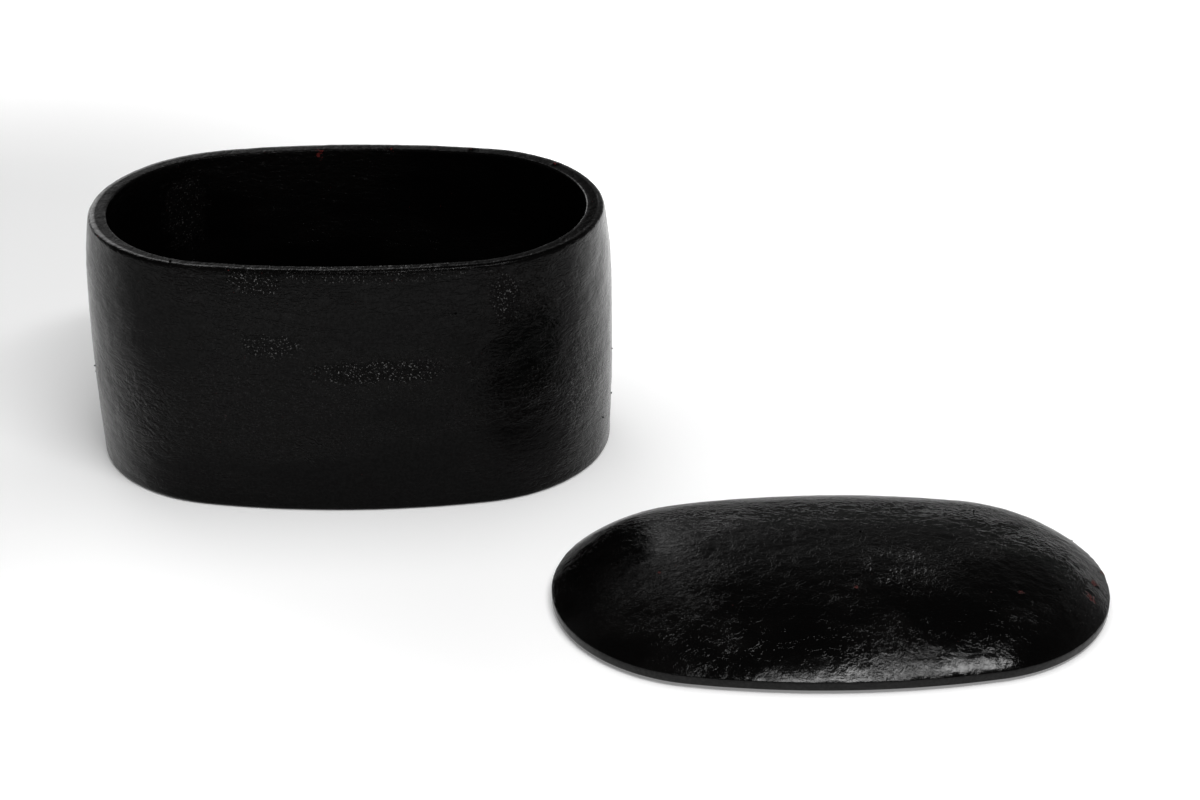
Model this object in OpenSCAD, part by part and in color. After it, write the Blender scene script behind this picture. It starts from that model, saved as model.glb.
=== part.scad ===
// Oval lidded box with a rough black lacquer finish.
// The side is a four-arc oval wall with a bellied face, a flat rim and a board let into its foot.
// The lid is a hollowed crown that lands on the rim and is located by a lip ring.
// Open, the lid stands on that ring on the table, beside the box.

/* [Box] */
// Length of the oval that the side and the lid follow
box_l = 300; // [260:5:360]
// Width of that oval
box_w = 184.8; // [176:0.4:200]
// Height of the box without its lid
box_h = 150; // [100:5:200]
// Radius of the two rounded ends
end_r = 86; // [70:1:86]
// Distance of the inner face of the side inside that oval
wall_t = 11.5; // [10:0.5:13]
// How far the side swells out of that oval halfway up
belly = 2.8; // [1:0.1:4]
// How far the face draws in from the belly to the rim
rim_draw = 4.8; // [2:0.1:5]
// How far the face draws in from the belly to the foot
foot_draw = 1.6; // [0.5:0.1:3]
// Radius of the worn outer edge of the rim
rim_round = 2; // [1:0.5:2.5]
// Radius of the inner edge of the rim
rim_round_in = 1; // [0.5:0.5:2]
// Radius of the outer edge of the foot
foot_round = 2; // [1:0.5:2.5]

/* [Base board] */
// Thickness of the board
base_t = 8; // [6:0.5:12]
// Width of the rabbet in the side that takes the board
rabbet_w = 5; // [4:0.5:6]
// Diameter of the pegs that hold the board
peg_d = 3; // [2.5:0.5:4]
// Length of a peg
peg_l = 18; // [14:1:24]

/* [Lid] */
// Height of the upright band round the lid's edge
edge_h = 5; // [5:0.5:8]
// Radius of the flat arc over the middle of the crown
top_r = 210; // [180:10:300]
// Radius of the rounder arc above the band
shoulder_r = 86; // [85:1:98]
// Thickness of the crown
crown_t = 8; // [6:0.5:8.5]
// Thickness of the lip ring
lip_t = 5; // [4:0.5:6]
// How far the lip ring reaches into the box
lip_depth = 2.5; // [2:0.5:8]
// Gap between the lip ring and the inside of the box, all round
lip_gap = 0.8; // [0.5:0.1:1.5]

/* [Layout] */
// Where the lid is drawn
lid_place = "beside"; // [beside, closed]
// Distance of the open lid to the right of the box, centre to centre
lid_x = 268; // [260:1:400]
// Distance of the open lid in front of the box, centre to centre
lid_y = 188; // [185:1:300]
// Turn of the open lid on the table
lid_turn = 1; // [-5:0.5:5]

/* [Hidden] */
$fn = 240;

half_l = box_l / 2;
half_w = box_w / 2;
// The sides are two flat arcs that run tangent into the ends
end_x = half_l - end_r;
side_r = (end_x * end_x + half_w * half_w - end_r * end_r) / (2 * (half_w - end_r));
side_y = side_r - half_w;
join_a = atan2(side_y, end_x);
// Longer than any line across the box
reach = 2 * box_l;

// The crown's flat arc levels out at the crest and runs tangent into the shoulder at the brow
crest_in = 84;
brow_in = 40;
brow_a = acos((crest_in - brow_in) / top_r);
shoulder_in = brow_in + shoulder_r * cos(brow_a);
band_a = acos(shoulder_in / shoulder_r);
lid_top = edge_h + top_r * (1 - sin(brow_a)) + shoulder_r * (sin(brow_a) - sin(band_a));
top_mid = [-crest_in, lid_top - top_r];
shoulder_mid = [-shoulder_in, edge_h - shoulder_r * sin(band_a)];
edge_round = 1;
land_round = 0.8;
lip_out = wall_t + lip_gap;
lip_in = lip_out + lip_t;
lip_groove = 3;
lip_round = 1.2;

// Three pegs in each end and three in each side
peg_z = base_t / 2;
peg_sunk = 0.4;
end_pegs = [-50, 0, 50];
side_pegs = [-7.5, 0, 7.5];

lacquer = "#1b1918";
core = "#6e4a34";

// Point at an angle about a centre
function polar(centre, r, a) = centre + r * [cos(a), sin(a)];

// Points along an arc from one angle to another; first is 1 where a joining arc gives the first of them
function arc(centre, r, from, to, steps, first = 0) =
    [for (i = [first : steps]) polar(centre, r, from + (to - from) * i / steps)];

// How far the outer face stands out from the oval at a height
function swell(z) =
    let (t = 2 * z / box_h - 1)
    belly - (t > 0 ? rim_draw * pow(t, 3) : foot_draw * pow(t, 2));

// Plan of the part of the oval that turns about the right end's centre
module end_zone() {
    joint = [end_x + reach * cos(join_a), reach * sin(join_a)];
    polygon([[end_x, 0], joint, [3 * reach, reach], [3 * reach, -reach], [joint.x, -joint.y]]);
}

// Plan of the part of the oval that turns about the centre of the back side
module side_zone() {
    joint = [end_x + reach * cos(join_a), reach * sin(join_a)];
    polygon([[end_x, 0], joint, [-joint.x, joint.y], [-end_x, 0]]);
}

// Carries a profile round the oval. Its x is the distance outwards from the oval and its y the height.
module round_oval() {
    for (s = [0, 1])
        mirror([s, 0, 0])
            intersection() {
                translate([end_x, 0, 0])
                    rotate_extrude()
                        intersection() {
                            translate([end_r, 0]) children();
                            translate([0, -reach]) square(2 * reach);
                        }
                linear_extrude(2 * reach, center = true) end_zone();
            }
    for (s = [0, 1])
        mirror([0, s, 0])
            intersection() {
                translate([0, -side_y, 0]) rotate_extrude() translate([side_r, 0]) children();
                linear_extrude(2 * reach, center = true) side_zone();
            }
}

// Puts its children at each peg, with x pointing out of the side
module at_pegs() {
    for (s = [0, 1])
        mirror([s, 0, 0])
            for (a = end_pegs)
                translate([end_x, 0, peg_z]) rotate(a) translate([end_r, 0, 0]) children();
    for (s = [0, 1])
        mirror([0, s, 0])
            for (a = side_pegs)
                translate([0, -side_y, peg_z]) rotate(90 + a) translate([side_r, 0, 0]) children();
}

// A peg lying along x, its outer end sunk below the face
module peg() {
    translate([-peg_sunk - peg_l, 0, 0]) rotate([0, 90, 0]) cylinder(d = peg_d, h = peg_l);
}

// The bore for a peg, open through the face of the side
module peg_bore() {
    translate([-peg_sunk - peg_l, 0, 0]) rotate([0, 90, 0]) cylinder(d = peg_d, h = peg_l + 2 * belly + 2);
}

module wall_profile() {
    z_hi = box_h - rim_round;
    z_lo = foot_round;
    face = [for (i = [0 : 14]) let (z = z_lo + (z_hi - z_lo) * i / 14) [swell(z), z]];
    rim_edge = arc([swell(z_hi) - rim_round, z_hi], rim_round, 15, 90, 5);
    mouth_edge = arc([rim_round_in - wall_t, box_h - rim_round_in], rim_round_in, 90, 180, 4);
    foot = arc([swell(z_lo) - foot_round, z_lo], foot_round, -90, -15, 5);
    rabbet = [[-wall_t, base_t], [-rabbet_w, base_t], [-rabbet_w, 0]];
    polygon(concat(face, rim_edge, mouth_edge, rabbet, foot));
}

module side_wall() {
    color(lacquer)
        difference() {
            round_oval() wall_profile();
            at_pegs() peg_bore();
        }
}

module base_board() {
    color(core)
        difference() {
            round_oval() translate([-half_w, 0]) square([half_w - rabbet_w, base_t]);
            at_pegs() peg_bore();
        }
}

module base_pegs() {
    color("#b08a5a") at_pegs() peg();
}

// Section of the crown, from its spine to its edge, with the landing at height 0
module crown_profile() {
    a_edge = acos((shoulder_in - edge_round) / (shoulder_r - edge_round));
    a_lip = acos((shoulder_in - lip_in) / (shoulder_r - crown_t));
    edge_mid = polar(shoulder_mid, shoulder_r - edge_round, a_edge);
    top = arc(top_mid, top_r, 90, brow_a, 7);
    shoulder = arc(shoulder_mid, shoulder_r, brow_a, a_edge, 12, first = 1);
    edge = arc(edge_mid, edge_round, a_edge, 0, 3, first = 1);
    land = arc([-land_round, land_round], land_round, 0, -90, 3);
    groove = [[-lip_out, 0], [-lip_out, lip_groove], [-lip_in, lip_groove]];
    hollow = arc(shoulder_mid, shoulder_r - crown_t, a_lip, brow_a, 7);
    vault = arc(top_mid, top_r - crown_t, brow_a, 90, 6, first = 1);
    spine = [[-half_w, lid_top - crown_t], [-half_w, lid_top]];
    polygon(concat(top, shoulder, edge, land, groove, hollow, vault, spine));
}

module lip_profile() {
    left = arc([lip_round - lip_in, lip_round - lip_depth], lip_round, 180, 270, 4);
    right = arc([-lip_round - lip_out, lip_round - lip_depth], lip_round, 270, 360, 4);
    polygon(concat([[-lip_out, lip_groove], [-lip_in, lip_groove]], left, right));
}

// Puts the lid on the table beside the box or on its rim
module place_lid() {
    if (lid_place == "closed")
        translate([0, 0, box_h]) children();
    else
        translate([lid_x, -lid_y, lip_depth]) rotate(lid_turn) children();
}

module lid_crown() {
    color(lacquer) place_lid() round_oval() crown_profile();
}

module lid_lip() {
    color("#2a2422") place_lid() round_oval() lip_profile();
}

side_wall();
base_board();
base_pegs();
lid_crown();
lid_lip();
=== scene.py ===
"""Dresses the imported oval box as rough, hand-laid black lacquer in a plain white studio.

The frame gives the places and the overall sizes. Each part is a class that sweeps one fine mesh
round the box's oval, lets Geometry Nodes lay the lacquer's relief on it, and gives it its finish.
All sizes are metres.
"""

import logging
import math
from dataclasses import dataclass, field
from enum import Enum
from functools import reduce
from typing import Callable, NamedTuple, Optional, Sequence, Union

import bmesh
import bpy
import numpy as np
from mathutils import Matrix, Vector


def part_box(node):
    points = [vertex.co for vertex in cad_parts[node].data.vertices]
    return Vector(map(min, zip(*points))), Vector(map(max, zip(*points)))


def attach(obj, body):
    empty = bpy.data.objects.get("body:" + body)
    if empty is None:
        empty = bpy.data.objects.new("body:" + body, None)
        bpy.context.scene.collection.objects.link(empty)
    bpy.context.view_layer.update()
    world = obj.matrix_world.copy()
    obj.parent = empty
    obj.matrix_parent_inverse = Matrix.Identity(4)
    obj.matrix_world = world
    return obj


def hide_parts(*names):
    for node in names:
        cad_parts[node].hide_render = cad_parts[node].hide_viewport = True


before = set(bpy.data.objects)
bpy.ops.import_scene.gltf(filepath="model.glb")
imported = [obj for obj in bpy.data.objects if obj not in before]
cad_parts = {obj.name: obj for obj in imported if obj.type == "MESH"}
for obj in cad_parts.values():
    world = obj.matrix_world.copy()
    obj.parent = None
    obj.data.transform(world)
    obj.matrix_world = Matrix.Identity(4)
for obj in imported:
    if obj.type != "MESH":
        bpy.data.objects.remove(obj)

LOG = logging.getLogger("oval_box")
MM = 0.001
# The oval's end radius and the open lid's turn, which the frame's boxes don't give
END_RADIUS = 86 * MM
LID_TURN = math.radians(1.0)
# How much rougher a chip lies, and how far its edge reaches, in shares of its size
CHIP_ROUGHNESS = 4.5
CHIP_EDGE = 1.5
# The fewest steps in a rounded corner
TURN_STEPS = 4
# Points of a shell closer than the first are one point, and edges under the second are slivers
MERGE_GAP = 0.02 * MM
SLIVER = 0.001 * MM
# Nibs sit only where the relief is nearly whole
NIB_RELIEF = 0.9
WHITE = (1.0, 1.0, 1.0, 1.0)
NOWHERE = (0.0, 0.0, 0.0)
Colour = tuple[float, float, float, float]
Triple = tuple[float, float, float]
Band = tuple[float, float]
Lean = Callable[[np.ndarray, np.ndarray], np.ndarray]
Socket = bpy.types.NodeSocket
Sockets = bpy.types.bpy_prop_collection
Feed = Union[float, int, str, Sequence[float], Socket]
Feeds = dict[Union[str, int], Feed]


class Body(Enum):
    """The frame's bodies."""

    BOX = "box"
    LID = "lid"


class Slot(Enum):
    """The record's material slot names, which no coat here is given."""

    OUTSIDE = "black_lacquer"
    INSIDE = "black_lacquer_inside"


class Mark(Enum):
    """Point attributes that a section leaves on its mesh.

    Sheen scales the gloss, and what it has above 1 also adds shine at glancing angles.
    """

    RELIEF = "relief"
    WEAR = "wear"
    SHEEN = "sheen"
    CHIP = "chip"


# Plans, sections and the meshes swept from them


class Stations(NamedTuple):
    """Even steps round an oval: places, outward normals and the depth to its middle line."""

    places: np.ndarray
    normals: np.ndarray
    depths: np.ndarray


@dataclass(frozen=True)
class OvalPlan:
    """A four-arc oval, long along X, whose flat side arcs run tangent into its ends."""

    half_length: float
    half_width: float
    end_radius: float

    @property
    def end_x(self) -> float:
        """Distance from the middle to an end's centre."""
        return self.half_length - self.end_radius

    @property
    def side_radius(self) -> float:
        """Radius of a side arc."""
        spare = self.half_width**2 - self.end_radius**2
        return (self.end_x**2 + spare) / (2 * (self.half_width - self.end_radius))

    @property
    def side_y(self) -> float:
        """Distance from the middle to a side arc's centre."""
        return self.side_radius - self.half_width

    def inset(self, x: float, y: float) -> float:
        """How far a place lies inside the oval."""
        join = math.atan2(self.side_y, self.end_x)
        past_end = abs(x) - self.end_x
        if past_end > 0 and math.atan2(abs(y), past_end) < join:
            return self.end_radius - math.hypot(past_end, y)
        return self.side_radius - math.hypot(x, abs(y) + self.side_y)

    def stations(self, count: int) -> Stations:
        """Steps evenly round the oval.

        Args:
            count: How many steps.

        Returns:
            The stations, from the right end's join with the front, anticlockwise.
        """
        join = math.atan2(self.side_y, self.end_x)
        side_turn = math.pi - 2 * join
        runs = [
            ((self.end_x, 0.0), self.end_radius, -join, 2 * join),
            ((0.0, -self.side_y), self.side_radius, join, side_turn),
            ((-self.end_x, 0.0), self.end_radius, math.pi - join, 2 * join),
            ((0.0, self.side_y), self.side_radius, math.pi + join, side_turn),
        ]
        lengths = [radius * turn for _, radius, _, turn in runs]
        places, normals, depths = [], [], []
        for step in range(count):
            left = step / count * sum(lengths)
            run = 0
            while left >= lengths[run]:
                left -= lengths[run]
                run += 1
            (cx, cy), radius, start, _ = runs[run]
            angle = start + left / radius
            normal = (math.cos(angle), math.sin(angle))
            places.append((cx + radius * normal[0], cy + radius * normal[1]))
            normals.append(normal)
            on_side = abs(cy) > 0
            depths.append(radius - abs(cy / normal[1]) if on_side else radius)
        return Stations(np.array(places), np.array(normals), np.array(depths))


class SectionPoint(NamedTuple):
    """A point of a section, with its share of relief, its wear and its share of sheen."""

    out: float
    up: float
    relief: float
    wear: float
    sheen: float


@dataclass
class Section:
    """The section of a part that is swept round its oval, drawn like a pen path.

    Its sheen holds for all that is drawn until it is changed.
    """

    spacing: float
    points: list[SectionPoint] = field(default_factory=list)
    sheen: float = 1.0

    def start(self, out: float, up: float, relief: float = 1.0) -> None:
        """Puts the pen down."""
        self.points.append(SectionPoint(out, up, relief, 0.0, self.sheen))

    def line(self, out: float, up: float, relief: float = 1.0, wear: float = 0.0) -> None:
        """Draws a straight stretch.

        Args:
            out: Distance of its end out of the oval.
            up: Height of its end.
            relief: Share of relief at its end.
            wear: Wear at its end.
        """
        last = self.points[-1]._replace(sheen=self.sheen)
        end = SectionPoint(out, up, relief, wear, self.sheen)
        steps = max(1, round(math.hypot(out - last.out, up - last.up) / self.spacing))
        for i in range(1, steps + 1):
            t = i / steps
            self.points.append(SectionPoint(*(a + (b - a) * t for a, b in zip(last, end))))

    def along(self, path: Callable[[float], Band], steps: int, relief: float = 1.0) -> None:
        """Follows a path.

        Args:
            path: Gives (out, up) for a share from 0 to 1.
            steps: How many points it adds.
            relief: Share of relief along it.
        """
        for i in range(1, steps + 1):
            self.points.append(SectionPoint(*path(i / steps), relief, 0.0, self.sheen))

    def turn(self, centre: Band, radius: float, start: float, end: float,
             wear: float = 0.0, relief: float = 1.0) -> None:
        """Rounds a corner.

        Args:
            centre: The arc's centre, (out, up).
            radius: Its radius.
            start: Angle that it starts at, in degrees.
            end: Angle that it ends at, in degrees.
            wear: Wear at the middle of the corner.
            relief: Share of relief along it.
        """
        sweep_angle = math.radians(end - start)
        steps = max(TURN_STEPS, round(abs(sweep_angle) * radius / self.spacing))
        for i in range(1, steps + 1):
            angle = math.radians(start) + sweep_angle * i / steps
            place = (centre[0] + radius * math.cos(angle), centre[1] + radius * math.sin(angle))
            worn = wear * math.sin(math.pi * i / steps)
            self.points.append(SectionPoint(*place, relief, worn, self.sheen))


@dataclass(frozen=True)
class Seat:
    """Where a part stands in the frame: its middle on the floor and its turn about Z."""

    x: float = 0.0
    y: float = 0.0
    z: float = 0.0
    turn: float = 0.0

    def matrix(self) -> Matrix:
        """The seat as a transform."""
        return Matrix.Translation((self.x, self.y, self.z)) @ Matrix.Rotation(self.turn, 4, "Z")


@dataclass(frozen=True)
class Chip:
    """A place where the black coat has gone and the undercoat shows."""

    x: float
    y: float
    z: float
    size: float


def add_object(name: str, data: bpy.types.ID) -> bpy.types.Object:
    """Makes an object in the scene's own collection."""
    made = bpy.data.objects.new(name, data)
    bpy.context.scene.collection.objects.link(made)
    return made


def sweep(name: str, plan: OvalPlan, section: Section, closed: bool, columns: int, seat: Seat,
          chips: Sequence[Chip] = (), lean: Optional[Lean] = None) -> bpy.types.Object:
    """Sweeps a section round an oval into a closed mesh with outward normals.

    Args:
        name: The new object's name.
        plan: The oval.
        section: The section, whose points stop at the oval's middle line.
        closed: Whether the section is a loop. An open one starts and ends on the middle line.
        columns: Steps round the oval.
        seat: Where the part stands.
        chips: Places where the undercoat shows, in the part's own frame.
        lean: Moves the section's points out of the oval, each station in its own way.

    Returns:
        The new object, at the origin, with its place in its mesh.
    """
    stations = plan.stations(columns)
    rows = len(section.points)
    table = np.array(section.points)
    out = np.repeat(table[None, :, 0], columns, axis=0)
    if lean:
        out = out + lean(stations.normals, table[:, 0])
    out = np.maximum(out, -stations.depths[:, None])
    places = np.empty((columns, rows, 3))
    places[..., :2] = stations.places[:, None, :] + stations.normals[:, None, :] * out[..., None]
    places[..., 2] = table[None, :, 1]
    places = places.reshape(-1, 3)
    faces = []
    for i in range(columns):
        near, far = i * rows, (i + 1) % columns * rows
        for j in range(rows if closed else rows - 1):
            k = (j + 1) % rows
            faces.append((near + j, far + j, far + k, near + k))
    mesh = bpy.data.meshes.new(name)
    mesh.from_pydata(places.tolist(), [], faces)
    chipped = chip_strength(places, chips)
    relief = np.tile(table[:, 2], columns)
    marks = {
        Mark.RELIEF: relief * (1 + CHIP_ROUGHNESS * chipped),
        Mark.WEAR: np.tile(table[:, 3], columns),
        Mark.SHEEN: np.tile(table[:, 4], columns),
        Mark.CHIP: chipped,
    }
    for mark, values in marks.items():
        layer = mesh.attributes.new(mark.value, "FLOAT", "POINT")
        layer.data.foreach_set("value", values.astype(np.float32))
    tidy_shell(mesh)
    mesh.transform(seat.matrix())
    return add_object(name, mesh)


def chip_strength(places: np.ndarray, chips: Sequence[Chip]) -> np.ndarray:
    """How strongly each place is chipped, from 0 to 1."""
    strength = np.zeros(len(places))
    for chip in chips:
        gap = np.linalg.norm(places - np.array([chip.x, chip.y, chip.z]), axis=1)
        strength = np.maximum(strength, np.clip(CHIP_EDGE - gap / chip.size, 0, 1))
    return strength


def tidy_shell(mesh: bpy.types.Mesh) -> None:
    """Merges the doubles of a swept shell, then turns its normals outwards and smooths it."""
    shell = bmesh.new()
    shell.from_mesh(mesh)
    bmesh.ops.remove_doubles(shell, verts=shell.verts, dist=MERGE_GAP)
    bmesh.ops.dissolve_degenerate(shell, edges=shell.edges, dist=SLIVER)
    bmesh.ops.recalc_face_normals(shell, faces=shell.faces)
    for face in shell.faces:
        face.smooth = True
    shell.to_mesh(mesh)
    shell.free()


# Node trees


class Kind(Enum):
    """The kinds of socket that a node group shows."""

    FLOAT = "NodeSocketFloat"
    INT = "NodeSocketInt"
    VECTOR = "NodeSocketVector"
    GEOMETRY = "NodeSocketGeometry"
    MATERIAL = "NodeSocketMaterial"


class Grain(NamedTuple):
    """A noise: how fine it is per metre, how it is layered, and the band that its mask spans."""

    scale: Feed = 1.0
    detail: float = 3.0
    rough: float = 0.55
    distortion: float = 0.0
    low: float = 0.0
    high: float = 1.0


class Tree:
    """Adds nodes to a shader or geometry tree, each call giving back a socket or a node."""

    def __init__(self, data: bpy.types.NodeTree) -> None:
        """Starts from an empty tree."""
        self.data = data
        data.nodes.clear()

    def node(self, kind: str, feeds: Optional[Feeds] = None, **settings: object) -> bpy.types.Node:
        """Adds a node.

        Args:
            kind: Its bl_idname.
            feeds: Values or sockets for its inputs, by name or index.
            settings: Its own properties.

        Returns:
            The node.
        """
        made = self.data.nodes.new(kind)
        for key, value in settings.items():
            setattr(made, key, value)
        for key, value in (feeds or {}).items():
            target = made.inputs[key]
            if isinstance(value, bpy.types.NodeSocket):
                self.data.links.new(value, target)
            else:
                target.default_value = value
        return made

    def math(self, operation: str, a: Feed, b: Feed = 0.0, c: Feed = 0.0,
             clamp: bool = False) -> Socket:
        """A Math node's result."""
        made = self.node("ShaderNodeMath", {0: a, 1: b, 2: c}, operation=operation, use_clamp=clamp)
        return made.outputs[0]

    def product(self, *values: Feed) -> Feed:
        """The product of some values, taken from the left."""
        return reduce(lambda a, b: self.math("MULTIPLY", a, b), values)

    def total(self, *values: Feed) -> Feed:
        """The sum of some values, taken from the left."""
        return reduce(lambda a, b: self.math("ADD", a, b), values)

    def scaled(self, value: Feed, gain: Feed, base: Feed) -> Socket:
        """A value times a gain, plus a base."""
        return self.math("MULTIPLY_ADD", value, gain, base)

    def vector_math(self, operation: str, a: Feed, b: Feed = NOWHERE) -> Socket:
        """A Vector Math node's vector result."""
        made = self.node("ShaderNodeVectorMath", {0: a, 1: b}, operation=operation)
        return made.outputs["Vector"]

    def measure(self, operation: str, a: Feed, b: Feed = NOWHERE) -> Socket:
        """A Vector Math node's plain number."""
        made = self.node("ShaderNodeVectorMath", {0: a, 1: b}, operation=operation)
        return made.outputs["Value"]

    def ramp(self, value: Feed, low: float, high: float, to_low: Feed = 0.0,
             to_high: Feed = 1.0) -> Socket:
        """A smooth step of a value between two others."""
        feeds = {"Value": value, "From Min": low, "From Max": high,
                 "To Min": to_low, "To Max": to_high}
        made = self.node("ShaderNodeMapRange", feeds, interpolation_type="SMOOTHSTEP")
        return made.outputs["Result"]

    def noise(self, place: Feed, grain: Grain, seed: Feed = 0.0) -> Socket:
        """A four-dimensional noise about 0.5, whose fourth coordinate is the seed."""
        feeds = {"Vector": place, "W": seed, "Scale": grain.scale, "Detail": grain.detail,
                 "Roughness": grain.rough, "Distortion": grain.distortion}
        made = self.node("ShaderNodeTexNoise", feeds, noise_dimensions="4D", noise_type="FBM")
        return made.outputs[0]

    def mask(self, place: Feed, grain: Grain, seed: Feed = 0.0, to_low: Feed = 0.0,
             to_high: Feed = 1.0) -> Socket:
        """A noise that rises smoothly over the grain's band."""
        return self.ramp(self.noise(place, grain, seed), grain.low, grain.high, to_low, to_high)

    def mix_colour(self, share: Feed, a: Feed, b: Feed) -> Socket:
        """A blend of two colours."""
        return self.node("ShaderNodeMix", {0: share, 6: a, 7: b}, data_type="RGBA").outputs[2]

    def group(self, group: bpy.types.NodeTree, feeds: Feeds) -> Sockets:
        """The outputs of a shared shader group."""
        return self.node("ShaderNodeGroup", feeds, node_tree=group).outputs

    def mark(self, mark: Mark) -> Socket:
        """One of the mesh's point attributes, in a material."""
        return self.node("ShaderNodeAttribute", attribute_name=mark.value).outputs["Fac"]

    def end_geometry(self, geometry: Socket, coat: Socket) -> None:
        """Ends a geometry tree: makes its instances real and gives them the material."""
        real = self.node("GeometryNodeRealizeInstances", {0: geometry})
        coated = self.node("GeometryNodeSetMaterial",
                           {"Geometry": real.outputs[0], "Material": coat})
        self.node("NodeGroupOutput", {0: coated.outputs[0]})

    def end_material(self, feeds: Feeds) -> None:
        """Ends a material with its Principled shader."""
        shader = self.node("ShaderNodeBsdfPrincipled", feeds)
        self.node("ShaderNodeOutputMaterial", {"Surface": shader.outputs[0]})


def open_group(name: str, family: str, inputs: dict[Kind, Sequence[str]],
               outputs: dict[Kind, Sequence[str]]) -> tuple[Tree, Sockets]:
    """Starts a node group with its named sockets.

    Args:
        name: The group's name.
        family: The bl_idname of its kind of tree.
        inputs: The names of the inputs of each kind.
        outputs: The names of the outputs of each kind.

    Returns:
        The group's tree and the sockets that its inputs give.
    """
    group = bpy.data.node_groups.new(name, family)
    for side, kinds in (("INPUT", inputs), ("OUTPUT", outputs)):
        for kind, labels in kinds.items():
            for label in labels:
                group.interface.new_socket(label, in_out=side, socket_type=kind.value)
    tree = Tree(group)
    return tree, tree.node("NodeGroupInput").outputs


def new_material(name: str) -> tuple[bpy.types.Material, Tree]:
    """A new material and its empty tree."""
    material = bpy.data.materials.new(name)
    material.use_nodes = True
    return material, Tree(material.node_tree)


# Relief in the mesh


@dataclass(frozen=True)
class Relief:
    """How unevenly the lacquer lies on a part, as it shows in its outline and its light."""

    swell_height: float = 0.55 * MM
    swell_size: float = 55 * MM
    ripple_height: float = 0.42 * MM
    ripple_size: float = 14 * MM
    ridge_height: float = 0.28 * MM
    ridge_size: float = 5 * MM
    stretch: Triple = (1.0, 1.0, 1.0)
    seed: float = 0.0

    def values(self) -> dict[str, Feed]:
        """The fields under the names of the relief tree's inputs."""
        return {name.replace("_", " ").title(): value for name, value in vars(self).items()}


class ReliefTree:
    """The Geometry Nodes tree that lays relief on a swept mesh along its normals."""

    # Each layer's grain, and how far its seed lies from the part's
    LAYERS = {
        "Swell": (Grain(detail=2.0, rough=0.5), 5.0),
        "Ripple": (Grain(detail=3.0, rough=0.6, distortion=0.4), 6.0),
        "Ridge": (Grain(detail=3.0, rough=0.6, distortion=0.8), 5.0),
    }

    def __init__(self) -> None:
        """Builds the tree."""
        sizes = [f"{name} {size}" for name in self.LAYERS for size in ("Height", "Size")]
        tree, source = open_group("hand_laid_lacquer", "GeometryNodeTree", {
            Kind.GEOMETRY: ["Geometry"], Kind.FLOAT: [*sizes, "Seed"],
            Kind.VECTOR: ["Stretch"], Kind.MATERIAL: ["Coat"],
        }, {Kind.GEOMETRY: ["Geometry"]})
        self.group = tree.data
        place = tree.vector_math(
            "MULTIPLY", tree.node("GeometryNodeInputPosition").outputs[0], source["Stretch"])
        height = tree.total(*(self.layer(tree, source, place, name) for name in self.LAYERS))
        share = tree.node("GeometryNodeInputNamedAttribute", {"Name": Mark.RELIEF.value},
                          data_type="FLOAT").outputs["Attribute"]
        normal = tree.node("GeometryNodeInputNormal").outputs[0]
        shift = tree.node("ShaderNodeVectorMath", {0: normal, "Scale": tree.product(height, share)},
                          operation="SCALE")
        moved = tree.node("GeometryNodeSetPosition",
                          {"Geometry": source["Geometry"], "Offset": shift.outputs["Vector"]})
        tree.end_geometry(moved.outputs[0], source["Coat"])

    def layer(self, tree: Tree, source: Sockets, place: Socket, name: str) -> Feed:
        """One layer of relief, in metres either side of the surface."""
        grain, seed_step = self.LAYERS[name]
        scale = tree.math("DIVIDE", 1.0, source[f"{name} Size"])
        value = tree.noise(place, grain._replace(scale=scale),
                           tree.total(source["Seed"], seed_step))
        return tree.product(tree.scaled(value, 2.0, -1.0), source[f"{name} Height"])

    def lay_on(self, piece: bpy.types.Object, relief: Relief, coat: bpy.types.Material) -> None:
        """Lays the relief on a swept piece, gives it its coat and keeps the plain mesh."""
        apply_tree(piece, self.group, {**relief.values(), "Coat": coat})


class NibTree:
    """The Geometry Nodes tree that puts a nib of dried lacquer on each of a mesh's points."""

    def __init__(self) -> None:
        """Builds the tree."""
        tree, source = open_group("lacquer_nibs", "GeometryNodeTree", {
            Kind.GEOMETRY: ["Geometry"], Kind.VECTOR: ["Smallest", "Largest"],
            Kind.INT: ["Seed"], Kind.MATERIAL: ["Coat"],
        }, {Kind.GEOMETRY: ["Geometry"]})
        self.group = tree.data
        ball = tree.node("GeometryNodeMeshIcoSphere", {"Radius": 1.0, "Subdivisions": 2})
        size = tree.node("FunctionNodeRandomValue", {
            0: source["Smallest"], 1: source["Largest"], "Seed": source["Seed"]},
            data_type="FLOAT_VECTOR")
        put = tree.node("GeometryNodeInstanceOnPoints", {
            "Points": source["Geometry"], "Instance": ball.outputs["Mesh"],
            "Scale": size.outputs[0]})
        tree.end_geometry(put.outputs[0], source["Coat"])


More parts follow.
